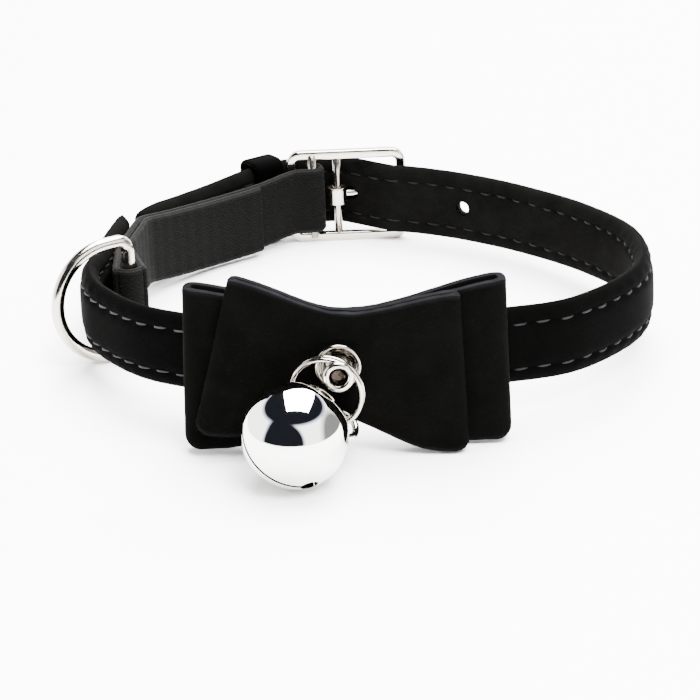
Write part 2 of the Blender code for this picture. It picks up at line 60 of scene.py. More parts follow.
# The strap's middle line: angle seen from above, reach as a share of REACH, rise as one of RISE
STRAP_ROWS = np.array((
    (150.5, 0.953, 0.14), (163, 0.903, 0.22), (178, 0.892, 0.33), (190, 0.928, 0.41),
    (205, 0.946, 0.52), (225, 0.958, 0.66), (247, 0.948, 0.84), (266, 0.937, 1.00),
    (285, 0.944, 0.90), (300, 0.985, 0.78), (315, 1.045, 0.69), (337, 1.044, 0.54),
    (360, 0.984, 0.36), (382, 0.915, 0.20), (405, 0.898, 0.07), (422, 0.930, 0.01),
    (432, 0.958, 0.00),
))
# The elastic's run: angle, reach of its outer face, sag as a share of RISE
RUN_ROWS = np.array((
    (105, 0.987, 0.05), (114, 0.953, 0.22), (125, 0.932, 0.29), (138, 0.913, 0.20), (146, 0.911, 0.07),
))
# The strap's tail over it: angle, stand-off as a share of THICK, sag as a share of RISE
TAIL_ROWS = ((109, 0.85, 0.0), (122, 0.44, 0.14), (134, 0.20, 0.10), (144, 0.06, -0.10))


def linear(hex_colour):
    """sRGB hex to linear RGBA: a part over 12.92, or ((part + 0.055) / 1.055) to the power 2.4."""
    parts = [int(hex_colour[i:i + 2], 16) / 255 for i in (0, 2, 4)]
    return (*[c / 12.92 if c <= 0.04045 else ((c + 0.055) / 1.055) ** 2.4 for c in parts], 1.0)


def settle(made, **settings):
    """Sets a node's inputs and properties. i3 is the input of that number, any other name is an
    input's or a property's, and a value that is a socket is linked."""
    for key, value in settings.items():
        label = key.replace("_", " ")
        if key[1:].isdigit():
            socket = made.inputs[int(key[1:])]
        elif label in made.inputs:
            socket = made.inputs[label]
        else:
            setattr(made, key, value)
            continue
        if isinstance(value, bpy.types.NodeSocket):
            made.id_data.links.new(value, socket)
        else:
            socket.default_value = value


def node(tree, kind, out=0, **settings):
    """Adds a shader node with its settings and links, and gives back one of its outputs."""
    made = tree.nodes.new("ShaderNode" + kind)
    settle(made, **settings)
    return made.outputs[out]


def new_material(name):
    """A material with its node tree and its shader."""
    made = bpy.data.materials.new(name)
    made.use_nodes = True
    return made, made.node_tree, made.node_tree.nodes["Principled BSDF"]


def black_velvet():
    """Velvet: short dense pile on a woven ground, brushed one way. Light sinks into it, so it is
    almost black, with painted light and shade set per piece and face: darker where a face catches
    more light, paler where it catches less, and a little paler where it is cut (raw_edge)."""
    made, tree, shader = new_material("black_velvet")
    spot = node(tree, "TexCoord", "Object")
    patches = node(tree, "TexNoise", "Fac", Vector=spot, Scale=1 / (PATCH * MM), Detail=4.0, Roughness=0.6)
    pile = node(tree, "TexNoise", "Fac", Vector=spot, Scale=1 / (PILE * MM), Detail=2.0)
    brushed = node(tree, "MapRange", Value=patches, From_Min=0.35, From_Max=0.7)
    uneven = node(tree, "Math", operation="MULTIPLY_ADD", i0=brushed, i1=0.45, i2=0.55)
    # painted light and shade: the lightness given to each piece and face
    painted_lightness = node(tree, "Attribute", "Fac", attribute_name="painted_lightness")
    lightness_and_brushing = node(tree, "Math", operation="MULTIPLY", i0=painted_lightness, i1=uneven)
    lay = node(tree, "Mix", 2, data_type="RGBA", Factor=lightness_and_brushing, i6=linear("010101"), i7=linear("080807"))
    raw = node(tree, "Attribute", "Fac", attribute_name="raw_edge")
    colour = node(tree, "Mix", 2, data_type="RGBA", Factor=raw, i6=lay, i7=linear("111113"))
    relief = node(tree, "Bump", Strength=0.35, Distance=0.08 * MM, Height=pile)
    settle(
        shader, Base_Color=colour, Roughness=0.85, Specular_IOR_Level=0.008, Sheen_Weight=0.0005,
        Sheen_Roughness=0.35, Sheen_Tint=linear("c8c6c0"), Normal=relief,
    )
    return made


def polar(angle, reach, height=0.0):
    """The point at an angle in degrees and a distance from the loop's centre, at a height."""
    return np.array((reach * cos(radians(angle)), reach * sin(radians(angle)), height))


def unit(rows):
    """Each row over its own length."""
    return rows / np.linalg.norm(rows, axis=-1, keepdims=True)


def spline(points, step, closed=False):
    """A Catmull-Rom curve: from b to c it is half of 2 b + (c - a) t + (2 a - 5 b + 4 c - d) t^2 +
    (3 b - a - 3 c + d) t^3. It is read off at even steps of its length, which are given too."""
    p = np.asarray(points, float)
    p = np.vstack((p[-1:], p, p[:2]) if closed else (2 * p[0] - p[1], p, 2 * p[-1] - p[-2]))
    a, b, c, d = (p[i:len(p) - 3 + i, None] for i in range(4))
    t = np.linspace(0, 1, 24, endpoint=False)[:, None]
    bend = (2 * a - 5 * b + 4 * c - d) * t**2 + (3 * b - a - 3 * c + d) * t**3
    dense = np.vstack(((b + ((c - a) * t + bend) / 2).reshape(-1, 3), p[-2]))
    along = np.concatenate(([0], np.cumsum(np.linalg.norm(np.diff(dense, axis=0), axis=1))))
    even = np.linspace(0, along[-1], max(2, round(along[-1] / step)) + 1)
    curve = np.stack([np.interp(even, along, dense[:, k]) for k in range(3)], -1)
    return (curve[:-1], even[:-1]) if closed else (curve, even)


def tangents(path, closed=False):
    """Directions of travel: the next point less the one before, over its length."""
    ahead, behind = np.roll(path, -1, 0), np.roll(path, 1, 0)
    if not closed:
        ahead[-1], behind[0] = path[-1], path[0]
    return unit(ahead - behind)


def outward_of(along):
    """The level direction to the right of travel, which is the loop's outside."""
    return unit(np.stack((along[:, 1], -along[:, 0], 0 * along[:, 0]), -1))


def mesh_piece(name, points, faces, material, data=None):
    """A smooth mesh with attributes. Where its signed volume, the sum of a . (b x c) over its
    triangles, is below 0, its faces are turned outwards."""
    mesh = bpy.data.meshes.new(name)
    mesh.from_pydata(((points + SHIFT) * MM).tolist(), [], faces)
    for key, values in (data or {}).items():
        values = np.asarray(values, float).reshape(len(points), -1)
        one = values.shape[1] == 1
        layer = mesh.attributes.new(key, "FLOAT" if one else "FLOAT_VECTOR", "POINT")
        layer.data.foreach_set("value" if one else "vector", values.ravel())
    mesh.materials.append(material)
    mesh.shade_smooth()
    mesh.calc_loop_triangles()
    corners = np.empty(len(mesh.loop_triangles) * 3, np.int32)
    mesh.loop_triangles.foreach_get("vertices", corners)
    a, b, c = points[corners.reshape(-1, 3)].transpose(1, 0, 2)
    if np.einsum("ij,ij->", a, np.cross(b, c)) < 0:
        mesh.flip_normals()
    made = bpy.data.objects.new(name, mesh)
    bpy.context.scene.collection.objects.link(made)
    return made


def grid_piece(name, grid, material, around=True, along=False, caps=False, data=None):
    """A mesh over a grid of points (rows, columns, xyz). around closes each row on itself, along
    joins the last row to the first, caps fills both ends."""
    rows, columns = grid.shape[:2]
    index = np.arange(rows * columns).reshape(rows, columns)
    ends = [index[0, ::-1].tolist(), index[-1].tolist()] if caps else []
    if around:
        index = np.hstack((index, index[:, :1]))
    if along:
        index = np.vstack((index, index[:1]))
    quads = np.stack((index[:-1, :-1], index[:-1, 1:], index[1:, 1:], index[1:, :-1]), -1)
    return mesh_piece(name, grid.reshape(-1, 3), quads.reshape(-1, 4).tolist() + ends, material, data)


def tube(name, path, radius, material, across, sides=14, closed=False, squash=1.0):
    """A round wire: about each point of the path a circle spanned by the direction across, made
    square to the path, and the one square to both. squash narrows it along across."""
    along = tangents(path, closed)
    side = unit(across - along * (along @ across)[:, None])[:, None]
    up = np.cross(along, side[:, 0])[:, None]
    turns = np.linspace(0, 2 * pi, sides, endpoint=False)[:, None]
    radii = np.broadcast_to(radius, len(path))[:, None, None]
    grid = path[:, None] + radii * (squash * np.cos(turns) * side + np.sin(turns) * up)
    return grid_piece(name, grid, material, along=closed, caps=not closed)


def rod(name, start, end, radius, sides=24):
    """A straight tube that cuts a round hole. No hole here runs along its slanted across."""
    across = unit(np.array((0.31, 0.52, 0.79)))
    return tube(name, np.array((start, end), float), radius, velvet, across, sides)


def cut(piece, cutter):
    """Takes the cutter's shape out of the piece, and removes the cutter."""
    modifier = piece.modifiers.new("cut", "BOOLEAN")
    modifier.operation, modifier.solver, modifier.object = "DIFFERENCE", "EXACT", cutter
    graph = bpy.context.evaluated_depsgraph_get()
    mesh = bpy.data.meshes.new_from_object(piece.evaluated_get(graph))
    piece.modifiers.clear()
    piece.data = mesh
    bpy.data.objects.remove(cutter)


def soft_waves(points, length, seed):
    """Smooth unevenness about -1 to 1: the mean of seven plane waves, near twice length long,
    whose directions turn by the golden angle and whose phases follow from the seed."""
    k = np.arange(7)
    lift = np.cos(1.3 * k + seed)
    level = np.sqrt(1 - lift**2)
    ways = np.stack((level * np.cos(2.4 * k + seed), level * np.sin(2.4 * k + seed), lift), -1)
    return np.sin(points @ ways.T * (pi / (length * (0.8 + 0.07 * k))) + seed * (k + 1)).mean(-1)


def strap_points():
    """The strap's middle line: its rows, its way through the buckle, which clears each bar by the
    bar's half, the gap and half the strap, and its tail, which stands off the elastic's face."""
    line = [polar(a, r * REACH, LOW + RISE * up) for a, r, up in STRAP_ROWS]
    loop_clear, bar_clear = BAR + 2 * GAP + SHEET + HALF, RAIL + GAP + HALF
    slope = asin((loop_clear + bar_clear) / (RIGHT_X - CENTRE_X))
    line.append((RIGHT_X + GAP, FRAME_Y - bar_clear - GAP / 2, LOW))
    line.append((RIGHT_X - bar_clear * sin(slope), FRAME_Y - bar_clear * cos(slope), LOW))
    line.append((CENTRE_X + loop_clear * sin(slope), FRAME_Y + loop_clear * cos(slope), LOW))
    line.append((CENTRE_X - GAP, FRAME_Y + loop_clear + GAP, LOW))
    line.append((LEFT_X, FRAME_Y + bar_clear + GAP, LOW))
    for angle, stand_off, sag in TAIL_ROWS:
        face = np.interp(angle, RUN_ROWS[:, 0], RUN_ROWS[:, 1]) * REACH
        line.append(polar(angle, face + GAP + stand_off * THICK + HALF, LOW - sag * RISE))
    return line


FULLNESS = 3.2  # the power in the section: 2 is an ellipse, more is fuller
STITCH_ROW, PITCH, STITCH = 2.95, 3.1, 1.8  # a row's place from the middle, its beat, a stitch
CHANNEL, CHANNEL_WIDTH, BEAT = 0.42, 0.36, 0.28  # the thread's channel, and how much it beats
PUCKER, PUCKER_ROW, PUCKER_WIDTH = 0.05, 4.0, 0.7  # small gathers outside each row


def strap_surface(run, across, face):
    """Stand-off of the strap's face from its middle: half its thickness times the root of
    1 - |v|^FULLNESS, less a bell curve along each stitch row that beats with the stitches, plus
    a smaller one that swings with them, the pucker."""
    place, turn = np.abs(across), 2 * pi * run / PITCH
    v = np.clip(place / (WIDTH / 2), 0, 1)
    swell = HALF * np.sqrt(1 - v**FULLNESS)
    beat = 1 - BEAT + BEAT * np.cos(turn)
    channel = CHANNEL * np.exp(-(((place - STITCH_ROW) / CHANNEL_WIDTH) ** 2)) * beat
    pucker = PUCKER * np.sin(turn + 1.0) * np.exp(-(((place - PUCKER_ROW) / PUCKER_WIDTH) ** 2))
    return face * (swell - channel + pucker)


PATH_STEP, COLUMNS = 0.5, 68  # the grid's steps along the strap and round it
TIP_LENGTH, TIP_NARROWING = 6.0, 0.20  # the tip's length, and the share that it narrows by
END_LENGTH, END_THICK = 0.9, 0.25  # how far from its ends the strap thins out, and to what share
UNEVEN, UNEVEN_LENGTH, UNEVEN_SEED = 0.06, 5.0, 4.0  # lumps in the padding
OUTER_PAINTED_LIGHTNESS, INNER_PAINTED_LIGHTNESS = 0.15, 0.9  # painted shade on the outer face, which catches more light, and painted light on the inner face, which catches less
HOLE_ANGLE, HOLE_R = 423, 0.95
HOLE_SLANT = np.array((0, 0.52, -0.19))  # the hole is slanted, so that light shows through
SLOT_R, SLOT_LENGTH, CUT_PAST = 0.86, 3.4, 0.3  # where the prong enters the strap
velvet = black_velvet()
strap_path, strap_run = spline(strap_points(), PATH_STEP)
strap_along = tangents(strap_path)
strap_out = outward_of(strap_along)
turns = np.linspace(-pi / 2, 3 * pi / 2, COLUMNS, endpoint=False)
across = np.sin(turns) * WIDTH / 2
face = np.where(np.arange(COLUMNS) < COLUMNS // 2, 1.0, -1.0)
to_tip = strap_run[-1] - strap_run
narrow = 1 - TIP_NARROWING * np.clip(1 - to_tip / TIP_LENGTH, 0, 1) ** 2
near_end = np.clip(np.minimum(to_tip, strap_run) / END_LENGTH, 0, 1)
blunt = np.sqrt(1 - (1 - near_end) ** 2) * (1 - END_THICK) + END_THICK
stand = strap_surface(strap_run[:, None], across, face) * blunt[:, None]
grid = strap_path[:, None] + strap_out[:, None] * stand[..., None]
grid[..., 2] += WIDTH / 2 + across * narrow[:, None]
grid += strap_out[:, None] * (UNEVEN * soft_waves(grid, UNEVEN_LENGTH, UNEVEN_SEED))[..., None]
# painted light and shade: the strap's outer face is painted darker, its inner face paler
painted_lightness = np.broadcast_to(np.where(face > 0, OUTER_PAINTED_LIGHTNESS, INNER_PAINTED_LIGHTNESS), stand.shape)
strap = grid_piece("velvet_strap", grid, velvet, caps=True, data={"painted_lightness": painted_lightness})

hole_reach = np.interp(HOLE_ANGLE, STRAP_ROWS[:, 0], STRAP_ROWS[:, 1]) * REACH
hole_at = polar(HOLE_ANGLE, hole_reach, LOW + WIDTH / 2)
hole_way = 0.45 * unit(hole_at * (1, 1, 0)) + HOLE_SLANT
cut(strap, rod("spare_hole", hole_at - 3 * hole_way, hole_at + 3 * hole_way, HOLE_R))
cut(strap, rod("post_hole", RIVET - (0, 30, 0), RIVET - (0, 39, 0), POST_ROOM))
shank_start = np.array((CENTRE_X + CURL_OUT * 0.6, FRAME_Y + CURL_IN * 0.75, FRAME_TOP / 2))
shank_end = np.array((RIGHT_X + RAIL, FRAME_Y + RAIL + SHEET + GAP, FRAME_TOP / 2))
shank_way = unit(shank_end - shank_start)
slot_ends = shank_start - CUT_PAST * shank_way, shank_start + SLOT_LENGTH * shank_way
cut(strap, rod("prong_slot", *slot_ends, SLOT_R))
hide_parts("neck_strap")
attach(strap, "collar")

# Stitches
# Grey cotton thread in two rows on both faces of the strap, each stitch 1.8 mm long and sunk at
# its ends, and four short ones that close the overlap with the elastic.
THREAD_R, TWIST = 0.15, 0.11  # the thread's radius, and the grain of its fuzz
THREAD_STEPS = THREAD_SIDES = 6
FIRST, LEFT_FREE = 1.2, 6  # where the rows start, and the unsewn length at the tip
LIFT, SINK = 0.16, 0.10  # a stitch's height in its middle, and its depth at its ends
WANDER_ALONG, WANDER_ACROSS = 0.10, 0.05  # how far stitches stray from their beat and their row
SEAM_RUN, SEAM_FOOT, SEAM_PITCH, SEAM_STITCHES = 2.2, -2.6, 1.45, 4  # the seam across the overlap
SEAM_LIFT, SEAM_PROUD = 0.12, 0.02
LIT_TONE, SHADED_TONE, INNER_SHADE_TONE, SEAM_TONE = 0.34, 0.10, 0.03, 0.8  # 0 is black, 1 the full grey; the lit, shaded and inner tones are painted light and shade
TONE_RANGE = 0.3  # the share by which one stitch is darker than another


def cotton_thread():
    """Cotton: spun and dyed grey, dull and a little fuzzy, darker where the stitch lies in shade."""
    made, tree, shader = new_material("grey_thread")
    tone = node(tree, "Attribute", "Fac", attribute_name="tone")
    colour = node(tree, "Mix", 2, data_type="RGBA", Factor=tone, i6=linear("020202"), i7=linear("4c4c50"))
    spot = node(tree, "TexCoord", "Object")
    fuzz = node(tree, "TexNoise", "Fac", Vector=spot, Scale=1 / (TWIST * MM))
    relief = node(tree, "Bump", Strength=0.4, Distance=0.03 * MM, Height=fuzz)
    settle(shader, Base_Color=colour, Roughness=0.7, Specular_IOR_Level=0.1, Normal=relief)
    return made


def on_strap(run, across, side, lift):
    """Points on the strap's face: its middle line at the run, out by the surface and the lift."""
    middle, out = (
        np.stack([np.interp(run, strap_run, rows[:, k]) for k in range(3)], -1)
        for rows in (strap_path, strap_out)
    )
    points = middle + out * (strap_surface(run, across, side) + side * lift)[..., None]
    points[..., 2] += WIDTH / 2 + across
    return points


number = np.arange(int((strap_run[-1] - LEFT_FREE) / PITCH))[:, None, None, None]
row = np.array((-STITCH_ROW, STITCH_ROW))[:, None, None]
side = np.array((1.0, -1.0))[:, None]
t = np.linspace(0, 1, THREAD_STEPS)
arch = np.sqrt(np.abs(np.sin(pi * t)))
start = FIRST + number * PITCH
run, across, side = np.broadcast_arrays(
    start + WANDER_ALONG * np.sin(number * 1.9 + row) + STITCH * t,
    row + WANDER_ACROSS * np.sin(number * 3.1), side,
)
rows_of_stitches = on_strap(run, across, side, LIFT * arch - SINK)
x, y = (np.interp(start, strap_run, strap_path[:, k]) for k in (0, 1))
angle = np.degrees(np.arctan2(y, x))
# painted light and shade: outer stitches paler on the lit part of the loop, darker elsewhere, inner ones
# nearly black
outer_tone = np.where((angle < -110) | (angle > 120), LIT_TONE, SHADED_TONE)
each_tone = 1 - TONE_RANGE + TONE_RANGE * np.sin(number * 2.7) ** 2
tone = np.where(side > 0, outer_tone, INNER_SHADE_TONE) * each_tone
seam_foot = SEAM_FOOT + SEAM_PITCH * np.arange(SEAM_STITCHES)[:, None]
seam = on_strap(SEAM_RUN + 0 * t, seam_foot + t, 1.0, SEAM_LIFT * arch + SEAM_PROUD)
lines = np.concatenate((rows_of_stitches.reshape(-1, THREAD_STEPS, 3), seam))
tone = np.concatenate((tone[..., 0].ravel(), np.full(len(seam), SEAM_TONE)))
along = unit(np.gradient(lines, axis=1))
first = unit(np.cross(along, (0.2, 0.3, 0.93)))[:, :, None]
second = np.cross(along, first[:, :, 0])[:, :, None]
turns = np.linspace(0, 2 * pi, THREAD_SIDES, endpoint=False)[:, None]
points = lines[:, :, None] + THREAD_R * (np.cos(turns) * first + np.sin(turns) * second)
index = np.arange(points.size // 3).reshape(points.shape[:3])
ring = np.concatenate((index, index[..., :1]), axis=2)
quads = np.stack((ring[:, :-1, :-1], ring[:, :-1, 1:], ring[:, 1:, 1:], ring[:, 1:, :-1]), -1)
faces = quads.reshape(-1, 4).tolist() + index[:, 0, ::-1].tolist() + index[:, -1].tolist()
stitches = mesh_piece(
    "strap_stitches", points.reshape(-1, 3), faces, cotton_thread(),
    {"tone": np.repeat(tone, THREAD_STEPS * THREAD_SIDES)},
)
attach(stitches, "collar")

# Elastic run
# One woven ribbon: from its cut end near the keeper along the inside, round the D-ring's bar,
# back along the outside and round the buckle's inner bar, where its end is sewn down.
LAYER, RIBBON_HALF = 1.02, 4.8  # the ribbon's thickness, and half its width
SELVEDGE, EDGE_R = 4.4, 0.42  # where the edge starts to round off, and its radius
OUTER_LAYER, INNER_LAYER = 0.55, 1.62  # the layers' middles, inwards from the run's outer face
CUT_SHARE = 0.90  # the inner layer's share of the run
RUN_START, RUN_SPAN, OVERLAP_ANGLE = 105, 45, 150.5  # where the run starts, climbs over and ends
FOLD_THIN, FOLD_NEAR = 0.82, 3.4  # how thin the ribbon is pulled round the buckle's bar, how near it
FOLD_LAYER, BEFORE_FOLD, SEWN_X = 0.44, (-8.2, 36.72, LOW), -6.3  # its way into and past that fold
RIPPLE, RIPPLE_LENGTH = 0.03, 2.3
FACE_STEP, RIBBON_STEP = 1.2, 0.35  # the steps along its guide, and along the ribbon's own grid
CORD, PICK = 0.62, 0.75  # the cords' spacing, and the picks', drawn coarser than real to show
D_BAR, D_WIRE = np.array((-29.6152, -4.9559, 8.8)), 0.85
D_ANGLE, D_TURN = 189.5, 19.5  # the way from the loop's centre to the bar, and the ring's swing


def woven_elastic():
    """Elastic: rubber cords under a polyester weave, matt, with fine ribs along it, picks across
    it and slightly paler selvedges. It reads the length along and the place across from run."""
    made, tree, shader = new_material("woven_elastic")
    place = tree.nodes.new("ShaderNodeSeparateXYZ")
    settle(place, Vector=node(tree, "Attribute", "Vector", attribute_name="run"))
    length, across = place.outputs[0], place.outputs[1]
    cord_turn = node(tree, "Math", operation="MULTIPLY", i0=across, i1=2 * pi / CORD)
    cords = node(tree, "Math", operation="SINE", i0=cord_turn)
    each_side = node(tree, "Math", operation="SIGN", i0=cords)
    stagger = node(tree, "Math", operation="MULTIPLY", i0=each_side, i1=pi / 2)
    pick_turn = node(tree, "Math", operation="MULTIPLY_ADD", i0=length, i1=2 * pi / PICK, i2=stagger)
    picks = node(tree, "Math", operation="SINE", i0=pick_turn)
    ribs = node(tree, "Math", operation="ABSOLUTE", i0=cords)
    height = node(tree, "Math", operation="MULTIPLY_ADD", i0=picks, i1=0.25, i2=ribs)
    shade = node(tree, "MapRange", Value=height, From_Min=-0.3, From_Max=1.3)
    weave = node(tree, "Mix", 2, data_type="RGBA", Factor=shade, i6=linear("020202"), i7=linear("070706"))
    from_middle = node(tree, "Math", operation="ABSOLUTE", i0=across)
    border = node(tree, "MapRange", Value=from_middle, From_Min=4.1, From_Max=4.6)
    colour = node(tree, "Mix", 2, data_type="RGBA", Factor=border, i6=weave, i7=linear("0e0e0d"))
    relief = node(tree, "Bump", Strength=0.6, Distance=0.12 * MM, Height=height)
    settle(
        shader, Base_Color=colour, Roughness=0.8, Specular_IOR_Level=0.03, Sheen_Weight=0.005,
        Sheen_Roughness=0.5, Normal=relief,
    )
    return made


def outer_face_line():
    """The ribbon's outer face: the strap's middle line in the overlap, inwards by its half and the
    gap, then the run's rows, whose level climbs evenly to the overlap, less their sag."""
    x, y = strap_path[:, 0], strap_path[:, 1]
    overlap = (x < 0) & (y > 0) & (y < REACH / 2) & (np.hypot(x, y) < REACH)
    shared = (strap_path - strap_out * (HALF + GAP))[overlap][::-1][::7]
    end_rise = RISE * np.interp(OVERLAP_ANGLE, STRAP_ROWS[:, 0], STRAP_ROWS[:, 2])
    levels = LOW + end_rise * (RUN_ROWS[:, 0] - RUN_START) / RUN_SPAN - RUN_ROWS[:, 2] * RISE
    run = [polar(angle, share * REACH, level) for (angle, share, _), level in zip(RUN_ROWS, levels)]
    return np.vstack((shared, run[::-1]))


d_radius, fold_radius = D_WIRE + GAP + OUTER_LAYER, BAR + GAP + FOLD_LAYER
face_path, _ = spline(outer_face_line(), FACE_STEP)
face_out = -outward_of(tangents(face_path))
outer_layer = face_path - face_out * OUTER_LAYER
inner_layer = face_path - face_out * INNER_LAYER
cut_end = int(len(inner_layer) * CUT_SHARE)
a = np.radians(np.linspace(170, 10, 9))[:, None]
d_arc = D_BAR + d_radius * (np.cos(a) * polar(D_ANGLE, 1.0) + np.sin(a) * polar(D_ANGLE + 90, 1.0))
d_arc[:, 2] = face_path[0, 2]
a = np.radians(np.linspace(-100, 90, 11))
fold_arc = np.stack((FOLD_X + fold_radius * np.cos(a), FOLD_Y + fold_radius * np.sin(a), LOW + 0 * a), -1)
ribbon = np.vstack((
    inner_layer[3:cut_end][::-1][::2], d_arc, outer_layer[3:-3][::2], BEFORE_FOLD,
    fold_arc, (SEWN_X, FOLD_Y + fold_radius, LOW),
))
ribbon_path, ribbon_run = spline(ribbon, RIBBON_STEP)
ribbon_out = outward_of(tangents(ribbon_path))
edge_to_edge = np.linspace(-RIBBON_HALF, RIBBON_HALF, 25)
across = np.concatenate((edge_to_edge, edge_to_edge[::-1]))
face = np.repeat((1.0, -1.0), len(edge_to_edge))
edge_round = np.sqrt(np.clip(1 - (np.clip(np.abs(across) - SELVEDGE, 0, None) / EDGE_R) ** 2, 0.05, 1))
at_fold = np.linalg.norm(ribbon_path[:, :2] - (FOLD_X, FOLD_Y), axis=1) < FOLD_NEAR
thin = np.where(at_fold, FOLD_THIN, 1.0)[:, None]
ripple = RIPPLE * np.sin(ribbon_run * 2 * pi / RIPPLE_LENGTH)[:, None]
stand = face * LAYER / 2 * edge_round * thin + ripple
grid = ribbon_path[:, None] + ribbon_out[:, None] * stand[..., None]
grid[..., 2] += WIDTH / 2 + across * 0.995
run_data = np.stack(np.broadcast_arrays(ribbon_run[:, None], across, face), -1)
elastic = grid_piece("elastic_ribbon", grid, woven_elastic(), caps=True, data={"run": run_data})
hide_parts("elastic_band")
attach(elastic, "collar")

# Bow
# Two tiers of 1 mm velvet, each a flattened loop pinched by the rivet, with raw cut edges along
# the top and bottom that show the paler ground of the cloth.
PANEL, WAIST = 1.0, 13.2  # the velvet's thickness, and a tier's height at the rivet
FULL_SHARE, LEVEL_SHARE = 0.77, 0.10  # the shares of the reach at which edges run full and level
UPPER_CORNER, LOWER_CORNER = 0.5, 1.5
FOLDS, FOLD_DEPTH, FOLD_REACH, FOLD_START = 7, 0.13, 8, 3.5  # gathers that fan out from the rivet
WAVE, WAVE_LENGTH = 0.12, 4.0  # soft waves in the wings
TUFT, TUFT_LENGTH = 0.02, 0.9  # tufts of the pile
FRAY_WAVE, FRAY_TUFT = 0.10, 0.07  # how far waves and tufts move the cut edges
# painted light and shade on the bow: a lightness between those of the strap's two faces
BOW_PAINTED_LIGHTNESS = 0.42
LOOP_STEP, ROWS = 0.42, 36  # the grid's step round a loop, and its points up each face
EDGE_PLACE, EDGE_NEXT = 0.45, 0.6  # a cut edge's place in the thickness, and the share beside it
# Half of a loop in plan: reach as a share of its half span, opening as a share of its gape
OPENING = np.array(((0, 0), (0.25, 0), (0.42, 0.20), (0.62, 0.60), (0.80, 0.94), (1.0, 1.0)))


def smooth(t):
    """3 t^2 - 2 t^3, with t held between 0 and 1."""
    t = np.clip(t, 0, 1)
    return 3 * t**2 - 2 * t**3


def tier(name, middle_y, half_span, end_height, gape, flare, shift, drop, tilt, lean, seed):
    """One loop of the bow. Its plan is a flattened loop with round ends; the upper edge rises evenly
    to the wing's end, the lower one falls early and runs full, and the corners are rounded."""
    near, wide = (PANEL + GAP) / 2, (gape - PANEL) / 2
    share = np.linspace(0, 1, 22)[:-1]
    offset = near + (wide - near) * np.interp(share, OPENING[:, 0], OPENING[:, 1])
    front_half = np.stack((share * (half_span - wide), offset, 0 * share), -1)
    bend = np.linspace(pi / 2, 0, 7)
    round_end = np.stack((half_span - wide + wide * np.cos(bend), wide * np.sin(bend), 0 * bend), -1)
    quarter = np.vstack((front_half, round_end))
    loop, _ = spline(np.vstack((quarter, quarter[-2::-1] * (1, -1, 1))), LOOP_STEP)
    loop = np.vstack((loop[:-1], loop[::-1][:-1] * (-1, 1, 1)))
    out = outward_of(tangents(loop, closed=True))

    share = np.abs(loop[:, 0]) / half_span
    to_end = half_span - np.abs(loop[:, 0])
    swell = smooth(share)[:, None]
    climb = np.clip((share - LEVEL_SHARE) / (1 - LEVEL_SHARE), 0, 1)
    upper = (WAIST + (end_height - WAIST) * (climb + smooth(climb)) / 2) / 2
    lower = (WAIST + (end_height - WAIST) * smooth(share / FULL_SHARE)) / 2
    for edge, corner in ((upper, UPPER_CORNER), (lower, LOWER_CORNER)):
        edge -= corner - np.sqrt(corner**2 - np.clip(corner - to_end, 0, corner) ** 2)

    up, edges = np.linspace(-1, 1, ROWS), np.array((EDGE_PLACE, -EDGE_PLACE))
    v = np.concatenate((up, (1.0, 1.0), -up, (-1.0, -1.0)))
    face = np.concatenate((np.ones(ROWS), edges, -np.ones(ROWS), -edges))
    rim = (np.abs(face) < 1).astype(float)
    rim[[0, ROWS - 1, ROWS + 2, 2 * ROWS + 1]] = EDGE_NEXT
    grid = np.repeat(loop[:, None], len(v), 1)
    grid[..., 2] = v * np.where(v > 0, upper[:, None], lower[:, None])
    grid[..., 0] += shift + flare * swell * np.sign(loop[:, :1]) * (1 - v) / 2
    grid[..., 1] -= lean * swell
    from_rivet = np.hypot(grid[..., 0], grid[..., 2] - drop)
    heading = np.arctan2(grid[..., 2], np.abs(grid[..., 0]) + 0.2)
    fade = np.exp(-((from_rivet / FOLD_REACH) ** 2)) * np.clip(from_rivet / FOLD_START - 0.8, 0, 1)
    folds = np.cos(FOLDS * heading + seed) * fade
    waves = soft_waves(grid * (0.6, 1.0, 0.35), WAVE_LENGTH, seed)
    tufts = soft_waves(grid, TUFT_LENGTH, seed + 3)
    stand = face * (PANEL / 2 + TUFT * tufts) + FOLD_DEPTH * folds + WAVE * waves * swell
    grid += out[:, None] * stand[..., None]
    grid[..., 2] += rim * (FRAY_WAVE * waves + FRAY_TUFT * tufts)

    a = radians(tilt)
    turn = np.array(((cos(a), 0, sin(a)), (0, 1, 0), (-sin(a), 0, cos(a))))
    grid = grid @ turn.T + (RIVET[0], middle_y, RIVET[2] - drop)
    raw = np.clip(rim * (0.65 + 0.5 * tufts), 0, 1)
    made = grid_piece(name, grid, velvet, along=True, data={"raw_edge": raw, "painted_lightness": 0 * raw + BOW_PAINTED_LIGHTNESS})
    cut(made, rod("post_hole", RIVET - (0, 36, 0), RIVET - (0, 45, 0), POST_ROOM))
    made.data.set_sharp_from_angle(angle=radians(60))
    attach(made, "collar")
    return made


bow_back = tier(
    "bow_back_velvet", middle_y=-38.566, half_span=19.3, end_height=20.9, gape=3.6, flare=0.45,
    shift=1.0, drop=1.20, tilt=0.5, lean=0.0, seed=1.7,
)
bow_front = tier(
    "bow_front_velvet", middle_y=-41.246, half_span=13.7, end_height=20.4, gape=2.3, flare=2.7,
    shift=0.0, drop=0.22, tilt=6.5, lean=0.75, seed=5.2,
)
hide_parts("bow_back")
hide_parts("bow_front")

# Rivet and washer
# A hollow steel rivet, its head rolled over, on a dished washer with a rolled rim, both pressed
# from sheet and bright plated. Painted shade darkens their hollows, painted dark reflections the washer.
WASHER_FOOT, NECK_END = 42.926, 46.456
POLISH, RUB = 2.4, 0.38  # clouds in the polish, and fine rubs


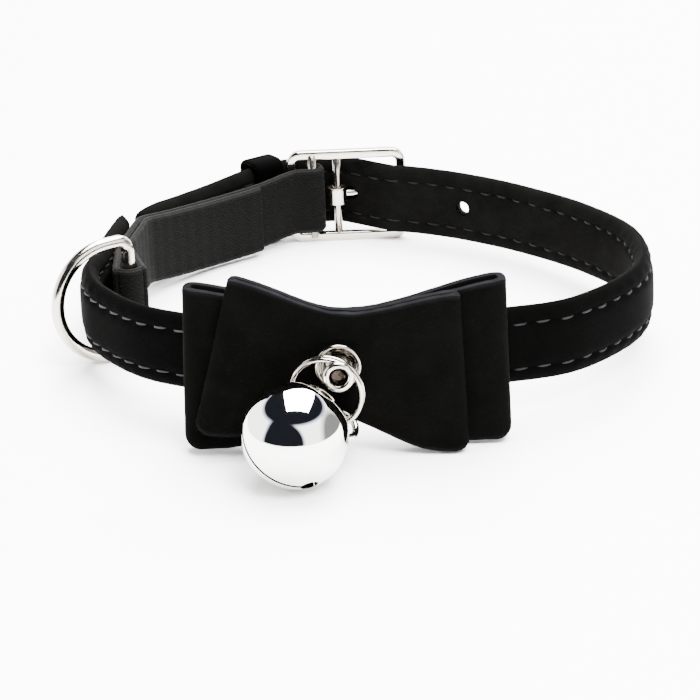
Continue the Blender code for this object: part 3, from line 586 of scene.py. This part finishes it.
def plated(name, colour, cloud_colour, roughness, wear):
    """Plated steel: a mirror with a faintly uneven polish and fine rubs, warm in its clouds. It is
    painted dark brown as painted shade in hollows and as painted dark reflections."""
    made, tree, shader = new_material(name)
    spot = node(tree, "TexCoord", "Object")
    clouds = node(tree, "TexNoise", "Fac", Vector=spot, Scale=1 / (POLISH * MM), Detail=5.0, Roughness=0.65)
    rubs = node(tree, "TexNoise", "Fac", Vector=spot, Scale=1 / (RUB * MM), Detail=2.0, Distortion=1.5)
    mixed = node(tree, "Mix", Factor=0.3, i2=clouds, i3=rubs)
    rough = node(
        tree, "MapRange", Value=mixed, From_Min=0.3, From_Max=0.7, To_Min=roughness, To_Max=roughness + wear
    )
    tint = node(tree, "Mix", 2, data_type="RGBA", Factor=clouds, i6=linear(colour), i7=linear(cloud_colour))
    # painted shade in hollows and painted dark reflections, laid on as dark brown
    shade_reflection_mix = node(tree, "Attribute", "Fac", attribute_name="painted_shade_and_reflection")
    surface = node(tree, "Mix", 2, data_type="RGBA", Factor=shade_reflection_mix, i6=tint, i7=linear("1f1a16"))
    relief = node(tree, "Bump", Strength=0.05, Distance=0.03 * MM, Height=mixed)
    settle(shader, Base_Color=surface, Metallic=1.0, Roughness=rough, Normal=relief)
    return made


def placed(position, z_axis, x_hint):
    """A turn and a position: local Z points along z_axis, local X near x_hint."""
    z = unit(np.array(z_axis, float))
    x = np.array(x_hint, float)
    x = unit(x - z * x.dot(z))
    return np.stack((x, np.cross(z, x), z), -1), np.array(position)


def lathe(name, profile, material, place, sides=64, closed=False, painted_shade_and_reflection=None):
    """A profile of (radius, height) pairs, rounded by a spline and turned about local Z. The last
    argument gives how much painted shade and painted dark reflection darken the plating at a radius and a
    height."""
    turn, position = place
    smoothed, _ = spline([(r, 0.0, h) for r, h in profile], 0.06, closed)
    turns = np.linspace(0, 2 * pi, sides, endpoint=False)
    r, _, h = np.broadcast_arrays(smoothed[:, :1], turns, smoothed[:, 2:])
    local = np.stack((r * np.cos(turns), r * np.sin(turns), h), -1)
    data = {"painted_shade_and_reflection": painted_shade_and_reflection(r, h)} if painted_shade_and_reflection else None
    return grid_piece(name, local @ turn.T + position, material, along=closed, caps=not closed, data=data)


chrome = plated("chrome_plate", "b0a89c", "c4beb4", 0.09, 0.12)
to_front = placed(RIVET, (0, -1, 0), (1, 0, 0))
back = 35.606 - HALF  # the strap's inner face behind the bow
head_profile = [(r, back + h) for r, h in (
    (0.02, -1.0), (1.2, -1.02), (1.60, -0.80), (1.55, -0.5), (0.7, -0.48), (0.55, -0.2),
)] + [(0.55, 38.0), (0.55, 44.0)] + [(r, NECK_END + h) for r, h in (
    (0.56, -0.1), (0.85, 0.08), (1.60, 0.28), (1.92, 0.60), (1.80, 0.93), (1.46, 1.06), (1.15, 0.90),
    (0.95, 0.45), (0.65, 0.22), (0.02, 0.16),
)]
washer_profile = [(r, WASHER_FOOT + h) for r, h in (
    (0.92, 0.62), (0.95, 0.28), (1.4, 0.06), (2.3, 0.02), (2.78, 0.22), (2.89, 0.60), (2.74, 0.93),
    (2.46, 0.93), (2.20, 0.62), (1.7, 0.40), (1.15, 0.48),
)]
# painted shade: the rivet's hollow middle is painted almost wholly dark brown
head = lathe(
    "rivet_shape", head_profile, chrome, to_front,
    painted_shade_and_reflection=lambda r, h: 0.985 * (h > NECK_END) * (1 - smooth((r - 0.92) / 0.4)),
)
# painted dark reflection over the whole washer, and painted shade in its dish
washer = lathe(
    "washer_shape", washer_profile, chrome, to_front, closed=True,
    painted_shade_and_reflection=lambda r, h: 0.30 + 0.58 * smooth((2.35 - r) / 0.3),
)
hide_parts("rivet")
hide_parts("rivet_washer")
for piece in (head, washer):
    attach(piece, "collar")

# Split ring
# Two turns of flattened spring wire side by side, with one step between them, threaded round the
# rivet's neck and through the bell's eye.
RING_CENTRE, RING_R, RING_WIRE = np.array((-3.9, -44.926, 9.70)), 4.41, 0.32
RING_TURNS, STEP_START, STEP_SPAN = 1.875, 0.854, 0.125  # in whole turns
SPREAD, FLATTENED = 1.085, 0.97  # the turns' spacing in wires, and the wire's flattening
turn, position = placed(RING_CENTRE, (0.240, 0.970, 0.050), (-0.8, 0, 0.6))
turns = np.linspace(0, RING_TURNS, 300)
offset = 2 * RING_WIRE * SPREAD * (smooth((turns - STEP_START) / STEP_SPAN) - 0.5)
turns *= 2 * pi
local = np.stack((RING_R * np.cos(turns), RING_R * np.sin(turns), offset), -1)
path = local @ turn.T + position
split_ring = tube("split_ring_wire", path, RING_WIRE, chrome, turn[:, 2], 12, squash=FLATTENED)
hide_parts("split_ring")
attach(split_ring, "collar")

# Bell
# A thin plated brass ball 13 mm across with a slit between two round holes, and a wire eye bent
# through its other side. The pellet inside isn't seen.
BELL, BELL_R, BELL_WALL = np.array((-7.9, -51.426, 6.8)), 6.5, 0.6
SLIT_REACH, SLIT_HALF, SLIT_HOLE = radians(72), 0.25, 1.1
CUT_FROM, CUT_TO = 5.0, 8.0  # the slit's cutter, from inside the wall to outside the ball
EYE_R, EYE_WIRE = 1.85, 0.45
bell_turn, _ = placed(BELL, (0.800, 0.560, 0.215), (0.280, -0.706, 0.649))


def ball(name, radius, rings=72, sides=120):
    """A ball: radius times (sin p cos q, sin p sin q, cos p) in the bell's own turn."""
    p = np.linspace(0.004, pi - 0.004, rings)[:, None]
    q = np.linspace(0, 2 * pi, sides, endpoint=False)
    local = radius * np.stack((np.sin(p) * np.cos(q), np.sin(p) * np.sin(q), np.cos(p) + 0 * q), -1)
    return grid_piece(name, local @ bell_turn.T + BELL, bell_chrome, caps=True)


bell_chrome = plated("bell_chrome", "eceef0", "d8d4ca", 0.02, 0.03)
bell = ball("bell_shell", BELL_R)
cut(bell, ball("bell_hollow", BELL_R - BELL_WALL, 48, 80))
a = np.linspace(-SLIT_REACH, SLIT_REACH, 40)
slit_ways = np.stack((0 * a, np.sin(a), -np.cos(a)), -1)
corners = SLIT_HALF * np.array(((-1, 0, 0), (1, 0, 0), (1, 0, 0), (-1, 0, 0)))
slit = slit_ways[:, None] * np.array((CUT_FROM, CUT_FROM, CUT_TO, CUT_TO))[:, None] + corners
cut(bell, grid_piece("slit_cut", slit @ bell_turn.T + BELL, bell_chrome, caps=True))
for way in slit_ways[[0, -1]] @ bell_turn.T:
    cut(bell, rod("slit_end", BELL + 4 * way, BELL + 8 * way, SLIT_HOLE, 48))
bell.data.set_sharp_from_angle(angle=radians(35))
turn, _ = placed(BELL, (0.688, 0.711, -0.146), (-0.700, 0.253, -0.667))
a = np.linspace(0, 2 * pi, 48, endpoint=False)
eye_line = np.stack((0 * a, EYE_R * np.sin(a), BELL_R + 0.09 + EYE_R * (1 - np.cos(a))), -1)
eye = tube("bell_eye", eye_line @ turn.T + BELL, EYE_WIRE, bell_chrome, turn[:, 0], closed=True)
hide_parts("bell")
for piece in (bell, eye):
    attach(piece, "collar")

# D-ring
# Round plated wire bent to a D: a straight bar in the elastic's fold, two bent corners and a
# half circle. It swings on its bar.
D_HALF, D_CORNER, D_LEG = (WIDTH + 3.7 + 2 * D_WIRE) / 2, 1.5, 2.9
t = np.linspace(0, pi / 2, 8)
corner = np.stack((D_CORNER * (1 - np.cos(t)), 0 * t, D_HALF - D_CORNER * (1 - np.sin(t))), -1)
t = np.linspace(pi / 2, -pi / 2, 40)
bow_of_d = np.stack((D_LEG + D_HALF * np.cos(t), 0 * t, D_HALF * np.sin(t)), -1)
z = np.linspace(2.2 - D_HALF, D_HALF - 2.2, 14)
d_line = np.vstack((corner, bow_of_d, corner[::-1] * (1, 1, -1), np.stack((0 * z, 0 * z, z), -1)))
turn, position = placed(D_BAR, (0, 0, 1), polar(D_ANGLE + D_TURN, 1.0))
d_ring = tube("d_ring_wire", d_line @ turn.T + position, D_WIRE, chrome, turn[:, 1], 20, closed=True)
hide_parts("d_ring")
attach(d_ring, "d_ring")

# Buckle
# A die-cast, plated frame of nearly square section with soft edges, two upright bars between its
# rails, and a prong whose sheet is curled round the middle bar.
OUTLINE_R, HALF_DEPTH, EDGE_SOFT = 1.3, 0.62, 0.28
PRONG_R, POINT_SHARE = 0.5, 0.1  # the shank's radius, and the share of it that tapers


def round_corners(half_a, half_b, radius, steps=5):
    """Points round a rectangle: each corner's centre plus the radius, through a quarter turn."""
    turn = (np.arange(4)[:, None] + np.linspace(0, 1, steps)) * pi / 2
    a = np.array((1, -1, -1, 1))[:, None] * (half_a - radius) + radius * np.cos(turn)
    b = np.array((1, 1, -1, -1))[:, None] * (half_b - radius) + radius * np.sin(turn)
    return np.stack((a, b), -1).reshape(-1, 2)


half_long, half_tall, middle_z = (RIGHT_X - LEFT_X) / 2, FRAME_TOP / 2 - RAIL, FRAME_TOP / 2
outline = round_corners(half_long, half_tall, OUTLINE_R, 9)
outwards = round_corners(half_long + 1, half_tall + 1, OUTLINE_R + 1, 9) - outline
section = round_corners(RAIL, HALF_DEPTH, EDGE_SOFT)
rim = outline[:, None] + outwards[:, None] * section[:, :1]
depth = np.broadcast_to(section[:, 1], rim.shape[:2])
grid = np.stack((rim[..., 0] + (LEFT_X + RIGHT_X) / 2, FRAME_Y + depth, rim[..., 1] + middle_z), -1)
buckle = grid_piece("buckle_cast", grid, chrome, along=True)
bars = [
    tube(name, np.array(((x, y, 0.7), (x, y, FRAME_TOP - 0.7))), BAR, chrome, np.array((1.0, 0, 0)), 20)
    for name, x, y in (("prong_bar", CENTRE_X, FRAME_Y), ("fold_bar", FOLD_X, FOLD_Y))
]
curl_profile = (
    (0.89, -1.1), (0.98, -1.2), (1.28, -1.2), (1.39, -1.08), (1.39, 0.0), (1.39, 1.08), (1.28, 1.2),
    (0.98, 1.2), (0.89, 1.1), (0.89, 0.0),
)
curl_place = placed((CENTRE_X, FRAME_Y, middle_z), (0, 0, 1), (1, 0, 0))
curl = lathe("prong_curl", curl_profile, chrome, curl_place, sides=40, closed=True)
prong_path, _ = spline((shank_start, shank_start * 0.6 + shank_end * 0.4, shank_end), 0.4)
to_point = np.clip((np.linspace(0, 1, len(prong_path)) - 1 + POINT_SHARE) / POINT_SHARE, 0, 0.96)
upright = np.array((0, 0, 1.0))
shank = tube("prong_shank", prong_path, PRONG_R * np.sqrt(1 - to_point**2), chrome, upright, 16)
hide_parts("buckle_frame")
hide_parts("buckle_prong")
for piece in (buckle, *bars, curl, shank):
    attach(piece, "collar")

# Keeper
# A loop of doubled velvet that holds the strap's tail down beside the buckle. It is stitched to
# itself inside, and its edges are folded in.
ROOM, WALL, CORNER = 0.3, 0.6, 0.87  # the room round the strap, the band's thickness, its bend
KEEPER_ANGLE = 107.5
tail = slice(len(strap_path) - 75, len(strap_path))
level = unit(strap_path[tail] * (1, 1, 0))
nearest = tail.start + np.argmax(level @ polar(KEEPER_ANGLE, 1.0))
keeper_along = unit(strap_along[nearest] * (1, 1, 0))
inner = round_corners(HALF + ROOM, WIDTH / 2 + ROOM, CORNER, 8)
outer = round_corners(HALF + ROOM + WALL, WIDTH / 2 + ROOM + WALL, CORNER + WALL, 8)
half_profile = np.array(((1.0, 1.9), (0.85, 2.22), (0.5, 2.3), (0.08, 2.27), (0.0, 2.15)))
profile = np.vstack((half_profile[::-1] * (1, -1), half_profile))  # depth in the wall, place along
ring = inner + (outer - inner) * profile[:, :1, None]
grid = strap_out[nearest] * ring[..., :1] + upright * ring[..., 1:] + keeper_along * profile[:, 1:, None]
keeper = grid_piece("keeper_band", grid + strap_path[nearest] + (0, 0, WIDTH / 2), velvet, along=True)
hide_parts("tail_keeper")
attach(keeper, "collar")

# Floor, light and camera
# White paper under broad soft light. The bright room is seen only in the plating, with its dark
# ceiling, a dark space in front and a grey wall on the right.
LIT, ROOM_WHITE = 2.2, 5.5
# The room's darker zones: the way to each, the cosines where it begins and is full, strength, colour
ZONES = (
    ((1, 0.1, 0), 0.76, 0.90, 0.5, "ffffff"),
    ((-0.52, -0.69, 0.50), 0.84, 0.92, 0.05, "aab4d0"),
    ((-0.416, -0.905, 0.08), 0.66, 0.75, 0.05, "aab4d0"),
    ((0, 0.12, 1), 0.55, 0.66, 0.05, "aab4d0"),
)
FLOOR_HALF = 3
floor_mesh = bpy.data.meshes.new("floor")
floor_corners = [(x * FLOOR_HALF, y * FLOOR_HALF, 0) for x, y in ((-1, -1), (1, -1), (1, 1), (-1, 1))]
floor_mesh.from_pydata(floor_corners, [], [(0, 1, 2, 3)])
paper, _, paper_shader = new_material("pale_paper")
settle(paper_shader, Base_Color=linear("f4f4f4"), Roughness=0.7)
floor_mesh.materials.append(paper)
floor = bpy.data.objects.new("floor", floor_mesh)
bpy.context.scene.collection.objects.link(floor)

world = bpy.data.worlds.new("studio")
world.use_nodes = True
tree = world.node_tree
way = node(tree, "TexCoord", "Generated")
room, tint = ROOM_WHITE, linear("ffffff")
for towards, begins, full, strength, colour in ZONES:
    facing = node(tree, "VectorMath", "Value", operation="DOT_PRODUCT", i0=way, i1=towards)
    amount = node(tree, "MapRange", Value=facing, From_Min=begins, From_Max=full)
    room = node(tree, "Mix", Factor=amount, i2=room, i3=strength)
    tint = node(tree, "Mix", 2, data_type="RGBA", Factor=amount, i6=tint, i7=linear(colour))
mirrored = node(tree, "LightPath", "Is Glossy Ray")
settle(
    tree.nodes["Background"],
    Strength=node(tree, "Mix", Factor=mirrored, i2=LIT, i3=room),
    Color=node(tree, "Mix", 2, data_type="RGBA", Factor=mirrored, i6=linear("ffffff"), i7=tint),
)
bpy.context.scene.world = world


def softbox(name, position, target, size, power, in_mirrors):
    """A rectangular lamp that looks from its position at its target."""
    data = bpy.data.lights.new(name, "AREA")
    data.shape = "RECTANGLE"
    data.size, data.size_y = size
    data.energy = power
    lamp = bpy.data.objects.new(name, data)
    lamp.location = position
    lamp.rotation_euler = (Vector(target) - Vector(position)).to_track_quat("-Z", "Y").to_euler()
    lamp.visible_glossy = in_mirrors
    bpy.context.scene.collection.objects.link(lamp)


softbox("key", (0.25, -0.55, 0.75), (0, 0, 0), (0.4, 0.4), 42.0, False)
softbox("top", (0.15, 0.42, 0.85), (0.15, 0.25, 0), (0.76, 1.4), 110.0, True)

# The camera stands DISTANCE mm from a point 8 mm above the loop's centre. CENTRE is where the
# photograph shows that point, FOCAL its focal length in pixels, and SIDE its width.
ELEVATION, ROLL, DISTANCE, FOCAL, CENTRE, SIDE = 19.88, 2.37, 468.5, 3508.0, (354.2, 278.2), 700
SENSOR = 36
e, roll = radians(ELEVATION), radians(ROLL)
right, up, ahead = np.array(((1.0, 0, 0), (0, sin(e), cos(e)), (0, cos(e), -sin(e))))
eye_at = np.array((0, 0, 8.0)) - ahead * DISTANCE
right, up = cos(roll) * right - sin(roll) * up, sin(roll) * right + cos(roll) * up
aim = unit(ahead + right * (SIDE / 2 - CENTRE[0]) / FOCAL + up * (CENTRE[1] - SIDE / 2) / FOCAL)
right = unit(right - aim * right.dot(aim))
camera_data = bpy.data.cameras.new("photo_angle")
camera_data.sensor_width = SENSOR
camera_data.lens = FOCAL * SENSOR / SIDE
camera_data.clip_start, camera_data.clip_end = 0.01, 20
matrix = np.eye(4)
matrix[:3, :3] = np.stack((right, np.cross(right, aim), -aim), -1)
matrix[:3, 3] = (eye_at + SHIFT) * MM
camera = bpy.data.objects.new("photo_angle", camera_data)
camera.matrix_world = Matrix(matrix.tolist())
bpy.context.scene.collection.objects.link(camera)
bpy.context.scene.camera = camera
